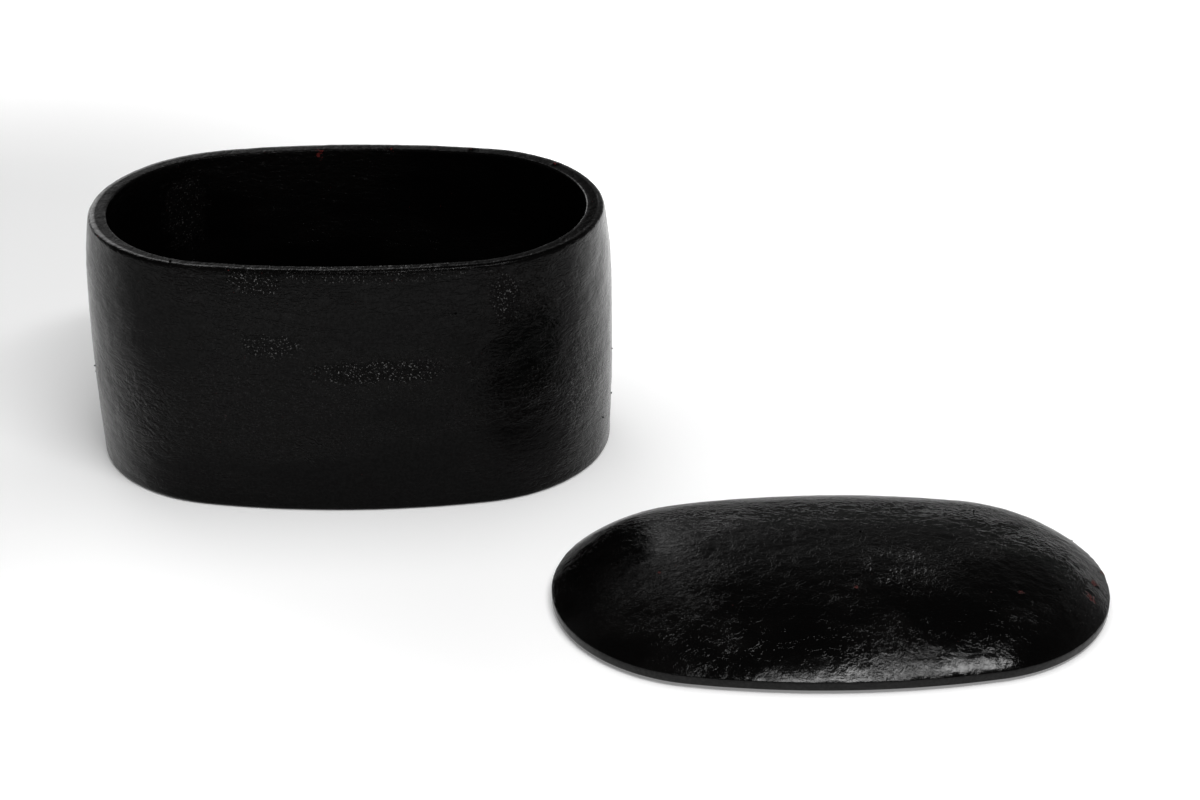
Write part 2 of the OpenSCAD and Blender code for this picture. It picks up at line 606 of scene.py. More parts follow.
@dataclass(frozen=True)
class NibScatter:
    """Nibs of dried lacquer: some at chosen places and the rest anywhere on a coat."""

    name: str
    chosen: tuple[Triple, ...]
    count: int
    seed: int
    smallest: Triple = (0.35 * MM, 0.35 * MM, 0.30 * MM)
    largest: Triple = (0.95 * MM, 0.95 * MM, 0.80 * MM)

    def build(self, tree: NibTree, coat_piece: bpy.types.Object,
              coat: bpy.types.Material) -> bpy.types.Object:
        """Sets the nibs on a finished coat.

        Args:
            tree: The tree that makes the nibs.
            coat_piece: The piece that they sit on.
            coat: Its material.

        Returns:
            One object with all the nibs.
        """
        mesh = coat_piece.data
        places = np.empty(len(mesh.vertices) * 3)
        mesh.vertices.foreach_get("co", places)
        places = places.reshape(-1, 3)
        share = np.empty(len(places), dtype=np.float32)
        mesh.attributes[Mark.RELIEF.value].data.foreach_get("value", share)
        shown = places[share > NIB_RELIEF]
        spots = [shown[np.linalg.norm(shown - np.array(spot), axis=1).argmin()]
                 for spot in self.chosen]
        spots.extend(np.random.default_rng(self.seed).choice(shown, self.count, axis=0))
        points = bpy.data.meshes.new(self.name)
        points.from_pydata([spot.tolist() for spot in spots], [], [])
        piece = add_object(self.name, points)
        apply_tree(piece, tree.group, {"Smallest": self.smallest, "Largest": self.largest,
                                       "Seed": self.seed, "Coat": coat})
        return piece


def apply_tree(piece: bpy.types.Object, group: bpy.types.NodeTree,
               values: dict[str, object]) -> None:
    """Runs a Geometry Nodes tree on a piece and keeps only the resulting mesh.

    Args:
        piece: The piece.
        group: The tree.
        values: The tree's inputs by name.
    """
    modifier = piece.modifiers.new(group.name, "NODES")
    modifier.node_group = group
    sockets = {s.name: s.identifier for s in group.interface.items_tree if s.in_out == "INPUT"}
    for name, value in values.items():
        modifier[sockets[name]] = value
    graph = bpy.context.evaluated_depsgraph_get()
    result = bpy.data.meshes.new_from_object(piece.evaluated_get(graph), depsgraph=graph)
    piece.modifiers.clear()
    spare = piece.data
    piece.data = result
    bpy.data.meshes.remove(spare)
    result.name = piece.name
    for polygon in result.polygons:
        polygon.use_smooth = True


# Finishes


@dataclass(frozen=True)
class WrinkleGroup:
    """Leathery wrinkles, fibres and grit, with clouds where they stand out."""

    clouds: Grain = Grain(1.0, 3.0, 0.6, 0.3, low=0.46, high=0.64)
    folds: Grain = Grain(300.0, 4.0, 0.58, 0.7)
    creases: Grain = Grain(190.0, 3.0, 0.55, 1.2, low=0.0, high=0.16)
    strands: Grain = Grain(560.0, 3.0, 0.6, 0.4)
    grit: Grain = Grain(750.0, 3.0, 0.6)
    crests: Grain = Grain(950.0, 2.0, 0.5, low=0.58, high=0.70)
    combing: Triple = (0.14, 0.5, 1.0)
    crease_share: float = 0.30
    folds_by_cloud: Band = (0.9, 0.45)
    grit_by_cloud: Band = (0.9, 0.25)
    grit_by_spot: float = 2.6
    specks_by_cloud: float = 0.10

    def build(self) -> bpy.types.NodeTree:
        """Makes a group that puts out the height in metres, the patches and the shiny specks."""
        tree, source = open_group("lacquer_wrinkles", "ShaderNodeTree", {
            Kind.VECTOR: ["Vector", "Lay"],
            Kind.FLOAT: ["Wrinkle Height", "Fibre Height", "Grit Height", "Patch Size",
                         "Rough Spots", "Seed"],
        }, {Kind.FLOAT: ["Height", "Patch", "Specks"]})
        place, spots, seed = source["Vector"], source["Rough Spots"], source["Seed"]
        laid = tree.vector_math("MULTIPLY", place, source["Lay"])
        cloud_scale = tree.math("DIVIDE", 1.0, source["Patch Size"])
        clouds = tree.mask(laid, self.clouds._replace(scale=cloud_scale), seed)
        signed = tree.scaled(tree.noise(laid, self.creases, seed), 2.0, -1.0)
        crease = tree.ramp(tree.math("ABSOLUTE", signed), self.creases.low, self.creases.high)
        folds = tree.total(tree.noise(laid, self.folds, seed),
                           tree.product(crease, self.crease_share))
        wrinkle = tree.product(folds, source["Wrinkle Height"],
                               tree.scaled(clouds, *self.folds_by_cloud))
        combed = tree.vector_math("MULTIPLY", laid, self.combing)
        fibre = tree.product(tree.noise(combed, self.strands, seed), source["Fibre Height"])
        rougher = tree.scaled(spots, self.grit_by_spot, tree.scaled(clouds, *self.grit_by_cloud))
        grit = tree.product(tree.noise(place, self.grit, seed), source["Grit Height"], rougher)
        gritty = tree.math("MAXIMUM", spots, tree.product(clouds, self.specks_by_cloud))
        tree.node("NodeGroupOutput", {
            "Height": tree.total(wrinkle, fibre, grit),
            "Patch": tree.math("MAXIMUM", clouds, spots),
            "Specks": tree.product(tree.mask(place, self.crests, seed), gritty)})
        return tree.data


@dataclass(frozen=True)
class StrokeGroup:
    """Curved strokes left by the hand round one centre, fading out round their focus."""

    wobble: Grain = Grain(120.0)
    wobble_reach: float = 16 * MM
    breaks: Grain = Grain(140.0, low=0.42, high=0.62)
    fade_from: float = 0.35

    def build(self) -> bpy.types.NodeTree:
        """Makes a group that puts out the strokes' height in metres."""
        tree, source = open_group("palm_strokes", "ShaderNodeTree", {
            Kind.VECTOR: ["Vector", "Centre", "Focus"],
            Kind.FLOAT: ["Reach", "Spacing", "Height"],
        }, {Kind.FLOAT: ["Height"]})
        place = source["Vector"]
        away = tree.measure("DISTANCE", place, source["Centre"])
        near = tree.measure("DISTANCE", place, source["Focus"])
        bent = tree.scaled(tree.noise(place, self.wobble), self.wobble_reach, away)
        phase = tree.math("DIVIDE", bent, source["Spacing"])
        wave = tree.math("SINE", tree.product(phase, 2 * math.pi))
        fade = tree.ramp(tree.math("DIVIDE", near, source["Reach"]), self.fade_from, 1.0, 1.0, 0.0)
        broken = tree.product(tree.mask(place, self.breaks), source["Height"])
        tree.node("NodeGroupOutput", {"Height": tree.product(tree.product(wave, fade), broken)})
        return tree.data


@dataclass(frozen=True)
class UndercoatGroup:
    """Small spots where the red undercoat shows, thicker on worn edges and chips."""

    spots: Grain = Grain(420.0, 4.0, 0.65, low=0.70, high=0.76)
    worn: Grain = Grain(45.0, 2.0, 0.5, low=0.55, high=0.75)
    wear_push: float = 0.16
    chip_push: float = 0.26

    def build(self) -> bpy.types.NodeTree:
        """Makes a group that puts out the mask of the undercoat."""
        tree, source = open_group("undercoat_spots", "ShaderNodeTree", {
            Kind.VECTOR: ["Vector"], Kind.FLOAT: ["Wear", "Chip", "Seed"],
        }, {Kind.FLOAT: ["Mask"]})
        place, seed = source["Vector"], source["Seed"]
        worn = tree.product(source["Wear"], tree.mask(place, self.worn, seed))
        chipped = tree.scaled(source["Chip"], self.chip_push, tree.noise(place, self.spots, seed))
        push = tree.scaled(worn, self.wear_push, chipped)
        tree.node("NodeGroupOutput", {"Mask": tree.ramp(push, self.spots.low, self.spots.high)})
        return tree.data


class SharedEffects:
    """The shader groups that the finishes share, each built once."""

    def __init__(self) -> None:
        """Builds the groups."""
        self.wrinkles = WrinkleGroup().build()
        self.strokes = StrokeGroup().build()
        self.undercoat = UndercoatGroup().build()


@dataclass(frozen=True)
class Stroke:
    """Curved strokes of the hand: their centre, the spot they show at and their size."""

    centre: Triple
    focus: Triple
    reach: float
    spacing: float
    height: float


@dataclass(frozen=True)
class RoughSpot:
    """A place where the lacquer has dried grainy: its centre and its half-sizes."""

    centre: Triple
    reach: Triple
    strength: float = 1.0


@dataclass(frozen=True)
class LacquerFinish:
    """Rough, hand-laid black lacquer over a red undercoat."""

    name: str
    lay: Triple
    wrinkle_height: float = 0.40 * MM
    fibre_height: float = 0.10 * MM
    grit_height: float = 0.16 * MM
    patch_size: float = 70 * MM
    black: Colour = (0.0011, 0.0010, 0.0010, 1.0)
    dusty: Colour = (0.0032, 0.0029, 0.0028, 1.0)
    # The pale colour of the specks is a painted glint, not a colour of the coat's own
    fleck: Colour = (0.055, 0.053, 0.052, 1.0)
    tint_share: float = 0.6
    red: Colour = (0.095, 0.013, 0.012, 1.0)
    red_depth: float = 0.12 * MM
    red_rougher: float = 0.25
    gloss: float = 0.17
    dull: float = 0.28
    dull_clouds: Grain = Grain(28.0, 3.0, 0.6, 0.2, low=0.35, high=0.68)
    gleam: float = 0.064
    gleam_edge: float = 0.24
    spot_gleam: float = 0.9
    spot_dimming: float = 0.4
    facing_from: float = 0.30
    facing_to: float = 0.66
    shimmer: Grain = Grain(620.0, 2.0, 0.6, low=0.36, high=0.64)
    shimmer_band: Band = (0.82, 1.18)
    calm_below: float = 0.0
    calm_edge: float = 5 * MM
    calm_share: float = 0.35
    torn: Grain = Grain(160.0, 3.0, 0.6, low=0.55, high=1.05)
    torn_depth: float = 1.6
    strokes: tuple[Stroke, ...] = ()
    rough_spots: tuple[RoughSpot, ...] = ()
    seat: Seat = Seat()
    seed: float = 0.0

    def build(self, effects: SharedEffects) -> bpy.types.Material:
        """Makes the material.

        Args:
            effects: The shared shader groups.

        Returns:
            The material.
        """
        material, tree = new_material(self.name)
        place = tree.node("ShaderNodeMapping", {
            "Vector": tree.node("ShaderNodeTexCoord").outputs["Object"],
            "Location": (self.seat.x, self.seat.y, self.seat.z),
            "Rotation": (0.0, 0.0, self.seat.turn)}, vector_type="TEXTURE").outputs[0]
        spots = self.spots(tree, place)
        height, patch, specks = self.surface(tree, effects, place, spots)
        red = tree.group(effects.undercoat, {
            "Vector": place, "Wear": tree.mark(Mark.WEAR), "Chip": tree.mark(Mark.CHIP),
            "Seed": self.seed})["Mask"]
        black = tree.mix_colour(tree.product(patch, self.tint_share), self.black, self.dusty)
        # Pale specks painted into the base colour stand for glints of light on the grit: a painted
        # highlight
        black = tree.mix_colour(tree.product(specks, self.tint_share), black, self.fleck)
        rough = tree.mask(place, self.dull_clouds, self.seed, self.gloss, self.dull)
        bump = tree.node("ShaderNodeBump", {
            "Height": tree.scaled(red, -self.red_depth, height), "Distance": 1.0, "Strength": 1.0})
        tree.end_material({
            "Base Color": tree.mix_colour(red, black, self.red),
            "Roughness": tree.scaled(red, self.red_rougher, rough),
            "Specular IOR Level": self.shine(tree, place, spots, specks),
            "Normal": bump.outputs[0]})
        return material

    def shine(self, tree: Tree, place: Socket, spots: Feed, specks: Socket) -> Socket:
        """How strongly the coat mirrors, by its tilt to the eye.

        Args:
            tree: The material's tree.
            place: The place on the part.
            spots: The mask of the rough spots.
            specks: The mask of the shiny specks.

        Returns:
            The Specular IOR Level.
        """
        facing = tree.node("ShaderNodeLayerWeight").outputs["Facing"]
        sheen = tree.mark(Mark.SHEEN)
        gleam = tree.ramp(facing, self.facing_from, self.facing_to, self.gleam, self.gleam_edge)
        extra = tree.product(tree.math("SUBTRACT", sheen, 1.0, clamp=True), facing)
        gleam = tree.total(tree.product(gleam, sheen), extra)
        gleam = tree.product(gleam, tree.scaled(spots, -self.spot_dimming, 1.0),
                             tree.mask(place, self.shimmer, self.seed, *self.shimmer_band))
        return tree.scaled(specks, self.spot_gleam, gleam)

    def spots(self, tree: Tree, place: Socket) -> Feed:
        """The mask of all the rough spots together."""
        rough: Feed = 0.0
        for spot in self.rough_spots:
            rough = tree.math("MAXIMUM", rough, self.spot_mask(tree, spot, place))
        return rough

    def spot_mask(self, tree: Tree, spot: RoughSpot, place: Socket) -> Socket:
        """How far a place lies inside a rough spot, from 0 to its strength, with a torn edge."""
        gap = tree.vector_math("SUBTRACT", place, spot.centre)
        away = tree.measure("LENGTH", tree.vector_math("DIVIDE", gap, spot.reach))
        inwards = tree.math("SUBTRACT", away, self.torn_depth / 2)
        edge = tree.scaled(tree.noise(place, self.torn, self.seed), self.torn_depth, inwards)
        return tree.ramp(edge, self.torn.low, self.torn.high, spot.strength, 0.0)

    def surface(self, tree: Tree, effects: SharedEffects, place: Socket,
                spots: Feed) -> tuple[Feed, Socket, Socket]:
        """Adds up the relief of the finish.

        Args:
            tree: The material's tree.
            effects: The shared shader groups.
            place: The place on the part.
            spots: The mask of the rough spots.

        Returns:
            The height in metres, the mask of the rough patches and the shiny specks.
        """
        up = tree.node("ShaderNodeSeparateXYZ", {0: place}).outputs["Z"]
        calm = tree.ramp(up, self.calm_below - self.calm_edge, self.calm_below + self.calm_edge,
                         self.calm_share, 1.0)
        wrinkles = tree.group(effects.wrinkles, {
            "Vector": place, "Lay": self.lay,
            "Wrinkle Height": tree.product(calm, self.wrinkle_height),
            "Fibre Height": self.fibre_height, "Grit Height": self.grit_height,
            "Patch Size": self.patch_size, "Rough Spots": spots, "Seed": self.seed})
        height = wrinkles["Height"]
        for stroke in self.strokes:
            made = tree.group(effects.strokes, {
                "Vector": place, "Centre": stroke.centre, "Focus": stroke.focus,
                "Reach": stroke.reach, "Spacing": stroke.spacing, "Height": stroke.height})
            height = tree.total(height, made["Height"])
        return height, wrinkles["Patch"], wrinkles["Specks"]


@dataclass(frozen=True)
class PegFinish:
    """Split bamboo, pale and straight-grained."""

    name: str = "split_bamboo"
    pale: Colour = (0.42, 0.27, 0.13, 1.0)
    dark: Colour = (0.22, 0.12, 0.05, 1.0)
    grain: Grain = Grain(1 / (0.6 * MM), 4.0, 0.6, low=0.35, high=0.65)
    relief: float = 0.05 * MM
    roughness: float = 0.6

    def build(self) -> bpy.types.Material:
        """Makes the material."""
        material, tree = new_material(self.name)
        grain = tree.noise(tree.node("ShaderNodeTexCoord").outputs["Object"], self.grain)
        bump = tree.node("ShaderNodeBump", {"Height": grain, "Distance": self.relief})
        streaks = tree.ramp(grain, self.grain.low, self.grain.high)
        tree.end_material({"Base Color": tree.mix_colour(streaks, self.dark, self.pale),
                           "Roughness": self.roughness, "Normal": bump.outputs[0]})
        return material


# The box and its lid


@dataclass
class Workshop:
    """What every part needs: the two geometry trees and the shared shader groups."""

    relief: ReliefTree
    nibs: NibTree
    effects: SharedEffects

    def hand_over(self, piece: bpy.types.Object, body: Body,
                  node: Optional[str] = None) -> None:
        """Declares a finished piece to the frame and logs it.

        Args:
            piece: The piece.
            body: The body that it rides on.
            node: The CAD node that it stands for. Nibs stand for none.
        """
        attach(piece, body.value)
        if node:
            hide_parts(node)
        LOG.info("%s: %d faces, rides on %s", piece.name, len(piece.data.polygons), body.value)

    def scatter(self, nibs: NibScatter, piece: bpy.types.Object, coat: bpy.types.Material,
                body: Body) -> None:
        self.hand_over(nibs.build(self.nibs, piece, coat), body)


@dataclass
class OvalBox:
    """The box: its side, its base board and the pegs that hold the board.

    The wall round its mouth is cut by hand: thinner at the front and thicker at the ends.
    """

    plan: OvalPlan
    height: float
    wall: float = 11.5 * MM
    belly: float = 2.8 * MM
    rim_draw: float = 4.8 * MM
    foot_draw: float = 1.6 * MM
    rim_round: float = 2.5 * MM
    rim_from: float = 8.0
    rim_round_in: float = 1 * MM
    foot_round: float = 2 * MM
    land_sheen: float = 0.05
    board: float = 8 * MM
    board_bed: float = 1 * MM
    rabbet: float = 5 * MM
    land_from: float = 4 * MM
    front_thin: float = 2.6 * MM
    ends_thick: float = 0.7 * MM
    spacing: float = 1.75 * MM
    columns: int = 500
    board_spacing: float = 4 * MM
    board_columns: int = 220
    nib_spots: tuple[Triple, ...] = (
        (0.1530, -0.004, 0.0585), (0.1525, -0.002, 0.0260), (0.1500, -0.030, 0.0250),
        (-0.1510, -0.020, 0.0560), (-0.1515, -0.010, 0.0480),
    )

    def swell(self, up: float) -> float:
        """How far the outer face stands out of the oval at a height."""
        t = 2 * up / self.height - 1
        return self.belly - (self.rim_draw * t**3 if t > 0 else self.foot_draw * t**2)

    def side_section(self) -> Section:
        """The side's section, a loop from its foot up the outer face and down the inner one."""
        low, high = self.foot_round, self.height - self.rim_round
        inner_low = self.height - self.rim_round_in
        path = Section(self.spacing)
        path.start(-self.foot_round, 0.0, relief=0.0)
        path.turn((self.swell(low) - self.foot_round, low), self.foot_round, -90, 0,
                  wear=0.6, relief=0.5)
        path.along(lambda t: (self.swell(low + (high - low) * t), low + (high - low) * t),
                   round((high - low) / self.spacing))
        path.turn((self.swell(high) - self.rim_round, high), self.rim_round, self.rim_from, 90,
                  wear=1.0)
        path.sheen = self.land_sheen
        path.line(self.rim_round_in - self.wall, self.height, relief=0.7, wear=0.2)
        path.sheen = 1.0
        path.turn((self.rim_round_in - self.wall, inner_low), self.rim_round_in, 90, 180, wear=1.0)
        path.line(-self.wall, self.board + self.spacing)
        path.line(-self.wall, self.board - self.board_bed, relief=0.3)
        path.line(-self.rabbet, self.board - self.board_bed, relief=0.0)
        path.line(-self.rabbet, 0.0, relief=0.0)
        return path

    def mouth_lean(self, normals: np.ndarray, out: np.ndarray) -> np.ndarray:
        """How the hand-cut inner face strays: thin at the front, thick at the ends.

        Args:
            normals: Outward normals of the stations.
            out: Distances of the section's points out of the oval.

        Returns:
            The shift of each point at each station.
        """
        front = np.clip(-normals[:, 1], 0, 1) ** 2
        ends = normals[:, 0] ** 2
        stray = self.front_thin * front - self.ends_thick * ends
        land = self.wall - self.rim_round_in - self.land_from
        return stray[:, None] * np.clip((-out - self.land_from) / land, 0, 1)[None, :]

    def build_side(self, shop: Workshop) -> None:
        """Builds the side's coat of lacquer."""
        finish = LacquerFinish(
            "black_lacquer_side",
            lay=(0.45, 0.45, 1.0),
            strokes=(
                Stroke((-0.135, -0.06, -0.010), (-0.109, -0.080, 0.058), 30 * MM, 5.2 * MM,
                       0.20 * MM),
                Stroke((-0.050, -0.09, 0.010), (-0.014, -0.094, 0.042), 17 * MM, 2.8 * MM,
                       0.22 * MM),
            ),
            rough_spots=(
                RoughSpot((-0.046, -0.092, 0.143), (17 * MM, 30 * MM, 8 * MM)),
                RoughSpot((0.093, -0.084, 0.129), (9 * MM, 30 * MM, 18 * MM)),
                RoughSpot((0.023, -0.094, 0.090), (46 * MM, 30 * MM, 8 * MM)),
                RoughSpot((-0.037, -0.093, 0.106), (20 * MM, 30 * MM, 8 * MM), 0.6),
                RoughSpot((0.136, -0.052, 0.062), (17 * MM, 36 * MM, 34 * MM), 0.75),
                RoughSpot((0.112, -0.078, 0.070), (16 * MM, 30 * MM, 26 * MM), 0.32),
                RoughSpot((0.020, -0.090, 0.147), (75 * MM, 30 * MM, 5 * MM), 0.5),
                RoughSpot((-0.125, -0.070, 0.060), (20 * MM, 40 * MM, 22 * MM), 0.3),
                RoughSpot((-0.104, 0.062, 0.118), (15 * MM, 25 * MM, 30 * MM)),
            ),
            seed=1.0,
        )
        chips = (
            Chip(-0.023, 0.0815, 0.1475, 3.2 * MM),
            Chip(0.020, 0.0820, 0.1490, 2.2 * MM),
            Chip(0.046, 0.0810, 0.1485, 1.8 * MM),
            Chip(0.068, 0.0800, 0.1490, 2.2 * MM),
            Chip(0.119, 0.0560, 0.1500, 1.6 * MM),
        )
        piece = sweep("side_coat", self.plan, self.side_section(), True, self.columns, Seat(),
                      chips, self.mouth_lean)
        coat = finish.build(shop.effects)
        shop.relief.lay_on(piece, Relief(stretch=(0.6, 0.6, 1.0), seed=3.0), coat)
        shop.hand_over(piece, Body.BOX, "side_wall")
        nibs = NibScatter("side_nibs", self.nib_spots, count=12, seed=21)
        shop.scatter(nibs, piece, coat, Body.BOX)

    def build_board(self, shop: Workshop) -> None:
        """Builds the base board, flush with the foot."""
        reach = self.plan.half_width
        path = Section(self.board_spacing)
        path.start(-reach, self.board)
        path.line(-self.wall, self.board, relief=0.6)
        path.line(-self.rabbet, self.board, relief=0.0)
        path.line(-self.rabbet, 0.0, relief=0.0)
        path.line(-reach, 0.0, relief=0.0)
        piece = sweep("board_coat", self.plan, path, False, self.board_columns, Seat())
        finish = LacquerFinish("black_lacquer_board", lay=(0.4, 1.0, 1.0), dull=0.5, seed=5.0)
        relief = Relief(swell_height=0.25 * MM, ripple_height=0.15 * MM, ridge_height=0.1 * MM,
                        seed=7.0)
        shop.relief.lay_on(piece, relief, finish.build(shop.effects))
        shop.hand_over(piece, Body.BOX, "base_board")

    def dress_pegs(self) -> None:
        """Gives the hidden pegs their own wood."""
        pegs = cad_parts["base_pegs"]
        pegs.data.materials.clear()
        pegs.data.materials.append(PegFinish().build())
        LOG.info("base_pegs: kept from the frame, in split bamboo")

    def build(self, shop: Workshop) -> None:
        """Builds the whole box."""
        self.build_side(shop)
        self.build_board(shop)
        self.dress_pegs()


@dataclass
class CrownedLid:
    """The lid: its hollowed crown and the lip ring that it stands on."""

    plan: OvalPlan
    seat: Seat
    rise: float
    lip_depth: float
    top_radius: float = 210 * MM
    shoulder_radius: float = 86 * MM
    crest_in: float = 84 * MM
    brow_in: float = 40 * MM
    edge_round: float = 1 * MM
    land_round: float = 0.8 * MM
    thickness: float = 8 * MM
    lip_out: float = 12.3 * MM
    lip: float = 5 * MM
    groove: float = 3 * MM
    lip_round: float = 1.2 * MM
    band_sheen: float = 1.12
    chip_spots: tuple[Triple, ...] = (
        (-0.0928, -0.0206, 1.6 * MM), (0.0088, -0.0381, 1.8 * MM), (0.0958, -0.0396, 1.9 * MM),
        (0.1355, -0.0271, 4.0 * MM), (0.1404, -0.0133, 3.5 * MM), (0.1480, 0.0065, 3.0 * MM),
        (0.1460, 0.0250, 3.0 * MM),
    )
    spacing: float = 1.45 * MM
    columns: int = 600

    @property
    def lip_in(self) -> float:
        """Inset of the lip ring's inner face."""
        return self.lip_out + self.lip

    @property
    def shoulder_mid(self) -> tuple[float, float]:
        """Centre of the shoulder's arc, as its inset and its height."""
        cosine = (self.crest_in - self.brow_in) / self.top_radius
        sine = math.sqrt(1 - cosine**2)
        step = self.top_radius - self.shoulder_radius
        return self.crest_in - step * cosine, self.rise - self.top_radius + step * sine

    def crown_up(self, inset: float, sink: float = 0.0) -> float:
        """Height of the crown, or of its hollow, at an inset from the edge."""
        if inset >= self.brow_in:
            flat = max(self.crest_in - inset, 0.0)
            return self.rise - self.top_radius + math.sqrt((self.top_radius - sink) ** 2 - flat**2)
        mid, up = self.shoulder_mid
        return up + math.sqrt((self.shoulder_radius - sink) ** 2 - (mid - inset) ** 2)

    def crown_section(self) -> Section:
        """The crown's section, from the middle line over the top and back along the hollow."""
        middle = self.plan.half_width
        mid, up = self.shoulder_mid
        reach = self.shoulder_radius - self.edge_round
        angle = math.acos((mid - self.edge_round) / reach)
        end = mid - self.shoulder_radius * math.cos(angle)
        steps = round((middle - end) / self.spacing)
        path = Section(self.spacing)
        path.start(-middle, self.rise)
        path.along(lambda t: (-(middle + (end - middle) * t),
                              self.crown_up(middle + (end - middle) * t)), steps)
        corner = up + reach * math.sin(angle)
        path.turn((-self.edge_round, corner), self.edge_round, math.degrees(angle), 0, wear=1.0)
        path.sheen = self.band_sheen
        path.line(0.0, self.land_round, relief=0.8, wear=0.3)
        path.turn((-self.land_round, self.land_round), self.land_round, 0, -90,
                  wear=0.8, relief=0.3)
        path.line(-self.lip_out, 0.0, relief=0.0)
        path.line(-self.lip_out, self.groove, relief=0.0)
        path.line(-self.lip_in, self.groove, relief=0.0)
        inner = middle - self.lip_in
        # The hollow is hardly seen, so it is half as fine
        path.along(lambda t: (-(self.lip_in + inner * t),
                              self.crown_up(self.lip_in + inner * t, self.thickness)),
                   round(inner / (2 * self.spacing)), relief=0.6)
        return path

    def build_crown(self, shop: Workshop) -> None:
        """Builds the crown's coat of lacquer."""
        finish = LacquerFinish(
            "black_lacquer_crown",
            lay=(0.8, 1.0, 1.0),
            red=(0.045, 0.009, 0.008, 1.0),
            wrinkle_height=0.36 * MM,
            fibre_height=0.04 * MM,
            gloss=0.10,
            dull=0.18,
            gleam=0.16,
            gleam_edge=0.008,
            facing_from=0.42,
            facing_to=0.76,
            calm_below=14 * MM,
            spot_gleam=0.1,
            strokes=(
                Stroke((-0.020, -0.040, 0.03), (0.036, -0.022, 0.03), 32 * MM, 3.4 * MM, 0.22 * MM),
            ),
            rough_spots=(
                RoughSpot((0.036, -0.010, 0.030), (40 * MM, 26 * MM, 30 * MM), 0.25),
                RoughSpot((-0.055, 0.012, 0.030), (30 * MM, 20 * MM, 30 * MM), 0.25),
                RoughSpot((0.130, -0.030, 0.012), (20 * MM, 30 * MM, 20 * MM), 0.4),
            ),
            seat=self.seat,
            seed=9.0,
        )
        chips = [Chip(x, y, self.crown_up(self.plan.inset(x, y)), size)
                 for x, y, size in self.chip_spots]
        piece = sweep("crown_coat", self.plan, self.crown_section(), False, self.columns,
                      self.seat, chips)
        relief = Relief(swell_height=0.25 * MM, ripple_height=0.34 * MM, stretch=(0.6, 1.0, 1.0),
                        seed=11.0)
        coat = finish.build(shop.effects)
        shop.relief.lay_on(piece, relief, coat)
        shop.hand_over(piece, Body.LID, "lid_crown")
        nibs = NibScatter("crown_nibs", (), count=8, seed=22)
        shop.scatter(nibs, piece, coat, Body.LID)

    def build_lip(self, shop: Workshop) -> None:
        """Builds the lip ring."""
        r = self.lip_round
        path = Section(self.spacing)
        path.start(-self.lip_out, self.groove, relief=0.0)
        path.line(-self.lip_in, self.groove, relief=0.0)
        path.line(-self.lip_in, r - self.lip_depth, relief=0.5)
        path.turn((r - self.lip_in, r - self.lip_depth), r, 180, 270, wear=0.5, relief=0.0)
        path.line(-r - self.lip_out, -self.lip_depth, relief=0.0)
        path.turn((-r - self.lip_out, r - self.lip_depth), r, 270, 360, wear=0.5, relief=0.0)
        path.line(-self.lip_out, self.groove, relief=0.0)
        path.points.pop()
        piece = sweep("lip_coat", self.plan, path, True, self.columns // 2, self.seat)
        finish = LacquerFinish("black_lacquer_lip", lay=(0.6, 0.6, 1.0), seat=self.seat, seed=13.0)
        relief = Relief(swell_height=0.1 * MM, ripple_height=0.08 * MM, ridge_height=0.06 * MM,
                        seed=15.0)
        shop.relief.lay_on(piece, relief, finish.build(shop.effects))
        shop.hand_over(piece, Body.LID, "lid_lip")

    def build(self, shop: Workshop) -> None:
        """Builds the whole lid."""
        self.build_crown(shop)
        self.build_lip(shop)


# The studio


@dataclass(frozen=True)
class StillCamera:
    """The photograph's camera: a short telephoto, looking down at the box from the front."""

    place: Triple = (0.1373, -1.3780, 0.7613)
    look_down: float = 28.25
    heading: float = -0.34
    roll: float = -0.17
    lens_mm: float = 78.23
    sensor_mm: float = 36.0
    near_clip: float = 0.05

    def build(self) -> None:
        """Makes the camera and sets it as the scene's."""
        data = bpy.data.cameras.new("still_camera")
        data.sensor_fit = "HORIZONTAL"
        data.sensor_width = self.sensor_mm
        data.lens = self.lens_mm
        data.clip_start = self.near_clip
        camera = add_object("still_camera", data)
        turn = (Matrix.Rotation(math.radians(self.heading), 4, "Z")
                @ Matrix.Rotation(math.radians(90 - self.look_down), 4, "X")
                @ Matrix.Rotation(math.radians(self.roll), 4, "Z"))
        camera.matrix_world = Matrix.Translation(self.place) @ turn
        bpy.context.scene.camera = camera


@dataclass(frozen=True)
class Softbox:
    """A studio light aimed at a point."""

    name: str
    place: Triple
    aim: Triple
    width: float
    height: float
    power: float
    mirrored: bool = True

    def build(self) -> None:
        """Makes the light."""
        data = bpy.data.lights.new(self.name, "AREA")
        data.shape = "RECTANGLE"
        data.size = self.width
        data.size_y = self.height
        data.energy = self.power
        lamp = add_object(self.name, data)
        lamp.visible_glossy = self.mirrored
        aim = Vector(self.aim) - Vector(self.place)
        lamp.matrix_world = (Matrix.Translation(self.place)
                             @ aim.to_track_quat("-Z", "Y").to_matrix().to_4x4())


